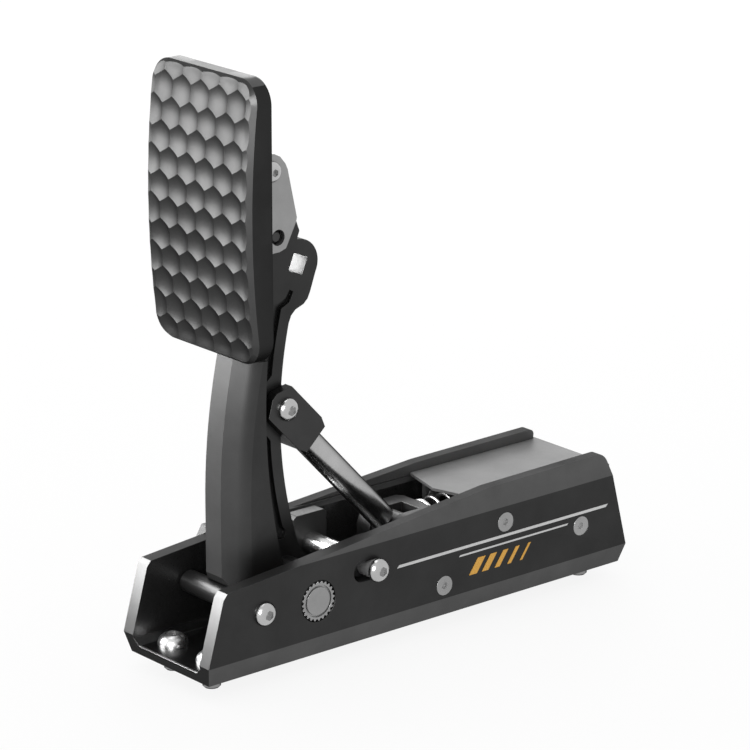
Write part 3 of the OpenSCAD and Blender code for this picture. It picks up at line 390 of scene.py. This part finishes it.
def dress_arm(obj):
    """A lighter coat on the arm's front as painted light, a darker one on its flat sides as painted shade,
    and a pale one in its square hole as painted light.
    """
    for material in (ARM_FRONT_LIGHT_COAT, ARM_SIDE_SHADE_COAT, SQUARE_LIGHT_COAT):
        obj.data.materials.append(material)
    for face in obj.data.polygons:
        face.material_index = arm_part(face)


def coat_below(obj, material, limit):
    """A second material on the faces below a height."""
    obj.data.materials.append(material)
    for face in obj.data.polygons:
        if face.center.z < limit:
            face.material_index = SECOND_COAT


def light_in_sockets(obj, material):
    """A second material on all that lies behind the screws' faces: painted light in the sockets, so that
    their shade doesn't leave them black.
    """
    obj.data.materials.append(material)
    reach = max(abs(v.co.x) for v in obj.data.vertices)
    for face in obj.data.polygons:
        if abs(face.center.x) < reach - LIT_SOCKET_DEPTH * MM:
            face.material_index = SECOND_COAT


dress_channel(SKINS["chassis_channel"])
dress_arm(SKINS["pedal_arm"])
# Painted light in the side screws' sockets
light_in_sockets(SKINS["side_screws"], SOCKET_LIGHT_COAT)
# Painted shade and painted dark reflections on the floor bolts below the channel's underside
coat_below(SKINS["floor_bolts"], STUD_SHADE_COAT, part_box("chassis_channel")[0][2])
# Painted shade: black steel on the bracket bolts' faces below their middle height, for the shade in the
# bracket's lower hole
bolts_low, bolts_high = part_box("bracket_bolts")
coat_below(SKINS["bracket_bolts"], MATERIALS["black_steel"], (bolts_low[2] + bolts_high[2]) / 2)


# Pad: a bowed face covered with dished hexagonal cells, cut by a bevel all round

PAD_W = 70.0
PAD_H = 121.6
PAD_ROUND = 11.0
PAD_BOW = 415.0
PAD_BEVEL = 2.5
CELL_W = 12.2
CELL_T = 1.45
# Shift of the rows of cells, and how much further out the bevel's outline lies at top and bottom
ROW_SHIFT = -3.3
RIM_TOP = 0.7
# The dishes' share of depth at the rim, and the distances from the rim over which they reach full depth
RIM_SHARE = 0.65
SHALLOW_TO = 1.5
DEEP_FROM = 7.0
# Spacing of the mesh, distance of the probes for slopes, and the least slope at which a place is moved
PAD_STEP = 0.45
PROBE = 0.02
LEAST_SLOPE = 0.2
# Rings from the face's rim to the rear: distance to the rear face and inset
BACK_RINGS = ((1.2, 0.0), (0.35, 0.25), (0.0, 1.0))
# Angle in degrees from which the pad's edges are sharp
PAD_SHARP = 16
# The pad's parts, as indices of their materials, and how far their faces look sideways or up: painted shade
# on its sides and rear, painted light on its upper side and on the face's sideways bevel
ON_FACE, ON_SIDE_SHADE, ON_TOP_LIGHT, ON_EDGE_LIGHT = range(4)
SIDEWAYS = 0.6
UPRIGHT = 0.75
# Half the width of the square around the pad's middle, and the step, in which its foremost place is sought
TIP_REACH = 6.1
TIP_STEP = 0.4


def cell_middles(x, s):
    """The middles of the cells around a place on the face, nearest first: x across, s along the bow."""
    row_h = CELL_W * math.sqrt(3) / 2
    near = round((s - ROW_SHIFT) / row_h)
    middles = []
    for row in (near - 1, near, near + 1):
        shift = 0.5 if row % 2 == 0 else 0.0
        middle = round(x / CELL_W - shift)
        for i in (middle - 1, middle, middle + 1):
            place_x = (i + shift) * CELL_W
            place_s = row * row_h + ROW_SHIFT
            middles.append((math.hypot(x - place_x, s - place_s), place_x, place_s))
    return sorted(middles)


def dish_depth(x, s):
    """Depth of the dished cells at a place on the face."""
    dish_r = (CELL_W ** 2 / 3 + CELL_T ** 2) / (2 * CELL_T)
    far = cell_middles(x, s)[0][0]
    return math.sqrt(dish_r ** 2 - far ** 2) - dish_r + CELL_T


def to_ridge(x, s):
    """The step from a place to the ridge between its two nearest cells."""
    (one, x1, s1), (two, x2, s2) = cell_middles(x, s)[:2]
    apart = math.hypot(x2 - x1, s2 - s1)
    step = (two ** 2 - one ** 2) / (2 * apart)
    return step * (x2 - x1) / apart, step * (s2 - s1) / apart


def ease(value, start, end):
    """Zero before the start, one after the end, and smooth between them."""
    t = min(max((value - start) / (end - start), 0.0), 1.0)
    return t * t * (3 - 2 * t)


def along_bow(z):
    """Length along the bowed face up to a height."""
    return math.asin(z / PAD_BOW) * PAD_BOW


def edge_distance(x, z):
    """Distance of a place to the bevel's outline."""
    a = abs(x) - (PAD_W / 2 - PAD_ROUND)
    b = abs(z) - (PAD_H / 2 - PAD_ROUND) - RIM_TOP
    outside = math.hypot(max(a, 0.0), max(b, 0.0))
    return PAD_ROUND - outside - min(max(a, b), 0.0)


def rim_rise(x, z):
    """How far the dishes lie below the rim's bevel: zero where they meet."""
    rim = edge_distance(x, z)
    share = RIM_SHARE + (1 - RIM_SHARE) * ease(rim, SHALLOW_TO, DEEP_FROM)
    return dish_depth(x, along_bow(z)) * share - PAD_BEVEL + rim


def face_depth(x, z):
    """Depth of the face: dishes that grow shallower towards the rim, and the rim's bevel."""
    return PAD_BEVEL - edge_distance(x, z) + max(rim_rise(x, z), 0.0)


def snap(x, z):
    """A place moved onto a ridge or onto the rim's inner edge, where one is within half a step."""
    dx, ds = to_ridge(x, along_bow(z))
    if math.hypot(dx, ds) < PAD_STEP / 2 and rim_rise(x, z) > 0:
        return x + dx, z + ds * math.cos(math.asin(z / PAD_BOW)), True
    way_x = edge_distance(x - PROBE, z) - edge_distance(x + PROBE, z)
    way_z = edge_distance(x, z - PROBE) - edge_distance(x, z + PROBE)
    size = max(math.hypot(way_x, way_z), PROBE)
    way_x = way_x / size
    way_z = way_z / size
    slope = (rim_rise(x + PROBE * way_x, z + PROBE * way_z) - rim_rise(x, z)) / PROBE
    step = -rim_rise(x, z) / slope if abs(slope) > LEAST_SLOPE else PAD_STEP
    if abs(step) < PAD_STEP / 2:
        return x + step * way_x, z + step * way_z, True
    return x, z, False


def round_corner(x, z):
    """A place in the square outline moved into the outline with round corners."""
    cx = PAD_W / 2 - PAD_ROUND
    cz = PAD_H / 2 - PAD_ROUND
    a = (abs(x) - cx) / PAD_ROUND
    b = (abs(z) - cz) / PAD_ROUND
    if a <= 0 or b <= 0:
        return x, z
    r = max(a, b)
    turn = math.pi / 4 * (b / a) if a >= b else math.pi / 2 - math.pi / 4 * (a / b)
    return (math.copysign(cx + PAD_ROUND * r * math.cos(turn), x),
            math.copysign(cz + PAD_ROUND * r * math.sin(turn), z))


def tip_depth():
    """Depth of the dishes at the pad's foremost place."""
    count = round(TIP_REACH / TIP_STEP)
    places = [-TIP_REACH + TIP_STEP * k for k in range(2 * count + 1)]
    return min(dish_depth(x, s) for x in places for s in places)


def pad_grid(work, mid_z, bow_y):
    """The face's corners in rows from the bottom up, and the set of those that were moved onto a ridge."""
    cols = round(PAD_W / PAD_STEP)
    rows = round(PAD_H / PAD_STEP)
    grid = []
    snapped = set()
    for j in range(rows + 1):
        line = []
        for i in range(cols + 1):
            x, z = round_corner(-PAD_W / 2 + PAD_W * i / cols, -PAD_H / 2 + PAD_H * j / rows)
            moved = False
            if 0 < i < cols and 0 < j < rows:
                x, z, moved = snap(x, z)
            lean = math.asin(z / PAD_BOW)
            y = bow_y - (PAD_BOW * math.cos(lean) - face_depth(x, z) / math.cos(lean)) * MM
            line.append(work.verts.new((x * MM, y, mid_z + z * MM)))
            if moved:
                snapped.add(line[-1])
        grid.append(line)
    return grid, snapped


def fill_grid(work, grid, snapped):
    """Faces between the corners, split along the ridges."""
    for lower, upper in zip(grid, grid[1:]):
        for i in range(len(lower) - 1):
            quad = (lower[i], lower[i + 1], upper[i + 1], upper[i])
            if quad[0] in snapped and quad[2] in snapped:
                work.faces.new(quad[:3])
                work.faces.new((quad[2], quad[3], quad[0]))
            elif quad[1] in snapped and quad[3] in snapped:
                work.faces.new(quad[1:])
                work.faces.new((quad[3], quad[0], quad[1]))
            else:
                work.faces.new(quad)


def close_back(work, grid, mid_z, rear):
    """The pad's side and rear, from the face's rim backwards."""
    right = [line[-1] for line in grid[:-1]]
    left = [line[0] for line in grid[:0:-1]]
    rim = grid[0][:-1] + right + grid[-1][:0:-1] + left
    for depth, inset in BACK_RINGS:
        back = []
        for v in rim:
            out = Vector((v.co.x, 0, v.co.z - mid_z)).normalized()
            back.append(work.verts.new((v.co.x - out.x * inset * MM, rear - depth * MM,
                                        v.co.z - out.z * inset * MM)))
        for k in range(len(rim)):
            n = (k + 1) % len(rim)
            work.faces.new((rim[k], rim[n], back[n], back[k]))
        rim = back
    work.faces.new(rim)


def dished_pad():
    """The pad as one closed mesh."""
    low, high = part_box("pedal_pad")
    mid_z = (low[2] + high[2]) / 2
    bow_y = low[1] + tip_depth() * -MM + PAD_BOW * MM
    work = bmesh.new()
    grid, snapped = pad_grid(work, mid_z, bow_y)
    fill_grid(work, grid, snapped)
    front_faces = len(work.faces)
    close_back(work, grid, mid_z, high[1])
    bmesh.ops.recalc_face_normals(work, faces=work.faces)
    for face in work.faces:
        face.smooth = True
    for edge in work.edges:
        edge.smooth = edge.calc_face_angle(0.0) < math.radians(PAD_SHARP)
    mesh = bpy.data.meshes.new("pedal_pad_face")
    work.to_mesh(mesh)
    work.free()
    obj = finish_mesh(link_piece("pedal_pad_face", mesh), "pedal_pad")
    # Painted light on the upper side and the sideways bevel, painted shade on the other sides and the rear
    for material in (PAD_SIDE_SHADE, PAD_TOP_LIGHT, PAD_EDGE_LIGHT):
        obj.data.materials.append(material)
    for face in mesh.polygons:
        if face.index < front_faces:
            face.material_index = ON_EDGE_LIGHT if abs(face.normal.x) > SIDEWAYS else ON_FACE
        else:
            face.material_index = ON_TOP_LIGHT if face.normal.z > UPRIGHT else ON_SIDE_SHADE


dished_pad()


# Spring: a round wire with closed end coils

WIRE_D = 1.8
OPEN_TURNS = 7.0
FLAT_TURNS = 0.3
# Pitch of the end coils in wire thicknesses, and the part of a turn over which the coils open
FLAT_PITCH = 1.05
OPENING = 0.3
# Room left at each end, and the part of a turn at which the wire starts
END_GAP = 0.05
COIL_START = 0.1
WIRE_SIDES = 12
RINGS_PER_TURN = 36


def coil_middles(low, high, mid_z):
    """The middles of the wire's rings and the directions away from the spring's axis."""
    radius = (high[0] - low[0]) / 2 - WIRE_D * MM / 2
    length = high[1] - low[1] - WIRE_D * MM - 2 * END_GAP * MM
    turns = OPEN_TURNS + 2 * FLAT_TURNS
    count = round(turns * RINGS_PER_TURN)
    opens = []
    for k in range(count):
        t = (k + 0.5) / RINGS_PER_TURN
        opens.append(ease(min(t, turns - t), FLAT_TURNS - OPENING / 2, FLAT_TURNS + OPENING / 2))
    step = FLAT_PITCH * WIRE_D * MM / RINGS_PER_TURN
    rise = (length - count * step) / sum(opens)
    y = low[1] + WIRE_D * MM / 2 + END_GAP * MM
    middles = []
    for k in range(count + 1):
        turn = 2 * math.pi * (k / RINGS_PER_TURN + COIL_START)
        middle = Vector((radius * math.cos(turn), y, mid_z + radius * math.sin(turn)))
        middles.append((middle, Vector((math.cos(turn), 0, math.sin(turn)))))
        if k < count:
            y += step + rise * opens[k]
    return middles


def wound_spring():
    """A helix whose ends lie flat."""
    low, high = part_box("return_spring")
    mid_z = (low[2] + high[2]) / 2
    middles = coil_middles(low, high, mid_z)
    last = len(middles) - 1
    around = [2 * math.pi * n / WIRE_SIDES for n in range(WIRE_SIDES)]
    work = bmesh.new()
    rings = []
    for k, (middle, out) in enumerate(middles):
        way = (middles[min(k + 1, last)][0] - middles[max(k - 1, 0)][0]).normalized()
        side = way.cross(out).normalized()
        rings.append([work.verts.new(middle + WIRE_D / 2 * MM * (math.cos(a) * out + math.sin(a) * side))
                      for a in around])
    for one, two in zip(rings, rings[1:]):
        for n in range(WIRE_SIDES):
            m = (n + 1) % WIRE_SIDES
            work.faces.new((one[n], one[m], two[m], two[n]))
    work.faces.new(rings[0])
    work.faces.new(rings[-1])
    bmesh.ops.recalc_face_normals(work, faces=work.faces)
    for face in work.faces:
        face.smooth = len(face.verts) == 4
    mesh = bpy.data.meshes.new("return_spring_wire")
    work.to_mesh(mesh)
    work.free()
    obj = finish_mesh(link_piece("return_spring_wire", mesh), "return_spring")
    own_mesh(obj)


wound_spring()


# Printed trim on the near wall: stripes and slanted bars, measured from the channel's front and underside

TRIM_T = 0.15
# Start, end, lower and upper edge of each stripe
STRIPES = ((104.0, 229.0, 29.7, 31.0), (140.0, 205.0, 26.4, 27.2))
BAR_LOW = 16.4
BAR_HIGH = 23.6
BAR_LEAN = 5.2
BAR_START = 146.0
BAR_PITCH = 7.6
BAR_WIDTHS = (4.6, 3.8, 3.0, 2.2, 1.4)


def slanted(start, end, low, high, lean):
    """Corners of a strip whose upper edge is shifted by its lean."""
    return (start, low), (end, low), (end + lean, high), (start + lean, high)


def add_slab(work, corners):
    """A thin slab on the wall's outer face, from corners of y and z."""
    low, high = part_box("chassis_channel")
    x = high[0]
    outer = [work.verts.new((x + TRIM_T * MM, low[1] + y * MM, low[2] + z * MM)) for y, z in corners]
    inner = [work.verts.new((x, low[1] + y * MM, low[2] + z * MM)) for y, z in corners]
    work.faces.new(outer)
    work.faces.new(inner[::-1])
    for k in range(len(corners)):
        n = (k + 1) % len(corners)
        work.faces.new((outer[k], inner[k], inner[n], outer[n]))


def trim_piece(name, shapes, material):
    """Flat trim on the near wall as one piece."""
    work = bmesh.new()
    for corners in shapes:
        add_slab(work, corners)
    bmesh.ops.recalc_face_normals(work, faces=work.faces)
    mesh = bpy.data.meshes.new(name)
    work.to_mesh(mesh)
    work.free()
    obj = link_piece(name, mesh)
    obj.data.materials.append(material)
    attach(obj, BODY["chassis_channel"])


stripe_shapes = [slanted(start, end, low, high, high - low) for start, end, low, high in STRIPES]
bar_shapes = []
for k, width in enumerate(BAR_WIDTHS):
    bar_y = BAR_START + k * BAR_PITCH
    bar_shapes.append(slanted(bar_y, bar_y + width, BAR_LOW, BAR_HIGH, BAR_LEAN))
trim_piece("trim_stripes", stripe_shapes, TRIM_SILVER)
trim_piece("trim_bars", bar_shapes, TRIM_AMBER)


# Stage, light and camera

STAGE_SIZE = 12
STAGE_TONE = 0.9
STAGE_ROUGH = 0.9
STAGE_SPECULAR = 0.2
# How much of the floor's white is its own, so that the rest keeps the shadow
STAGE_WHITE = 0.88
ROOM_TONE = 0.8
WHITE = (1, 1, 1, 1)

# Name, place, target, width and height in metres, watts, and whether the lamp is for gloss only
LAMPS = (
    ("front_left", (-0.473, -0.485, 0.38), (0, -0.085, 0.38), (0.84, 0.46), 16.5, True),
    ("key", (1.05, -1.5, 0.75), (0, -0.06, 0.15), (0.7, 0.8), 44, True),
    ("rear_left", (-1.1, 1.0, 0.55), (0, 0.08, 0.05), (0.9, 0.6), 6.5, False),
    ("top", (-0.2, -0.1, 1.5), (0, 0.0, 0.05), (0.8, 0.8), 3, False),
)


def seen_rays(tree):
    """One for rays from the camera and for reflections, zero for diffuse light."""
    path = tree.nodes.new("ShaderNodeLightPath")
    total = path.outputs["Is Camera Ray"]
    for name in ("Is Glossy Ray", "Is Transmission Ray"):
        add = tree.nodes.new("ShaderNodeMath")
        add.operation = "ADD"
        add.use_clamp = True
        tree.links.new(total, add.inputs[0])
        tree.links.new(path.outputs[name], add.inputs[1])
        total = add.outputs[0]
    return total


def stage_floor():
    """A pale floor that stays near white and keeps a faint shadow."""
    bpy.ops.mesh.primitive_plane_add(size=STAGE_SIZE, location=(0, 0, 0))
    floor = bpy.context.object
    floor.name = "floor"
    mat, tree, shader = new_material("floor_white", 0.0, STAGE_SPECULAR)
    shader.inputs["Base Color"].default_value = (STAGE_TONE, STAGE_TONE, STAGE_TONE, 1)
    shader.inputs["Roughness"].default_value = STAGE_ROUGH
    white = tree.nodes.new("ShaderNodeEmission")
    white.inputs["Color"].default_value = WHITE
    mix = tree.nodes.new("ShaderNodeMixShader")
    scale = tree.nodes.new("ShaderNodeMath")
    scale.operation = "MULTIPLY"
    scale.inputs[1].default_value = STAGE_WHITE
    out = tree.nodes["Material Output"]
    tree.links.new(seen_rays(tree), scale.inputs[0])
    tree.links.new(scale.outputs[0], mix.inputs["Fac"])
    tree.links.new(shader.outputs["BSDF"], mix.inputs[1])
    tree.links.new(white.outputs["Emission"], mix.inputs[2])
    tree.links.new(mix.outputs["Shader"], out.inputs["Surface"])
    floor.data.materials.append(mat)


def studio_world():
    """White behind the object, and a plain grey room for diffuse light."""
    world = bpy.data.worlds.new("studio")
    bpy.context.scene.world = world
    world.use_nodes = True
    tree = world.node_tree
    room = tree.nodes["Background"]
    room.inputs["Color"].default_value = (ROOM_TONE, ROOM_TONE, ROOM_TONE, 1)
    room.inputs["Strength"].default_value = 1.0
    white = tree.nodes.new("ShaderNodeBackground")
    white.inputs["Color"].default_value = WHITE
    white.inputs["Strength"].default_value = 1.0
    mix = tree.nodes.new("ShaderNodeMixShader")
    tree.links.new(seen_rays(tree), mix.inputs["Fac"])
    tree.links.new(room.outputs["Background"], mix.inputs[1])
    tree.links.new(white.outputs["Background"], mix.inputs[2])
    tree.links.new(mix.outputs["Shader"], tree.nodes["World Output"].inputs["Surface"])


def soft_box(name, place_m, target_m, size_m, watts, gloss_only):
    """A soft lamp that points at a spot; one that is for gloss only adds no diffuse light."""
    data = bpy.data.lights.new(name, "AREA")
    data.shape = "RECTANGLE"
    data.size = size_m[0]
    data.size_y = size_m[1]
    data.energy = watts
    lamp = bpy.data.objects.new(name, data)
    lamp.location = place_m
    lamp.rotation_euler = (Vector(target_m) - Vector(place_m)).to_track_quat("-Z", "Y").to_euler()
    lamp.visible_diffuse = not gloss_only
    bpy.context.scene.collection.objects.link(lamp)


def make_camera():
    """The camera at the photograph's viewing angle."""
    data = bpy.data.cameras.new("camera")
    data.lens = CAMERA_LENS
    data.sensor_width = CAMERA_SENSOR
    data.clip_end = CAMERA_REACH
    cam = bpy.data.objects.new("camera", data)
    cam.location = CAMERA_PLACE
    cam.rotation_euler = [math.radians(a) for a in CAMERA_TILT]
    bpy.context.scene.collection.objects.link(cam)
    bpy.context.scene.camera = cam


stage_floor()
studio_world()
for lamp in LAMPS:
    soft_box(*lamp)
make_camera()
bpy.context.scene.view_settings.view_transform = "Standard"

bpy.context.view_layer.update()
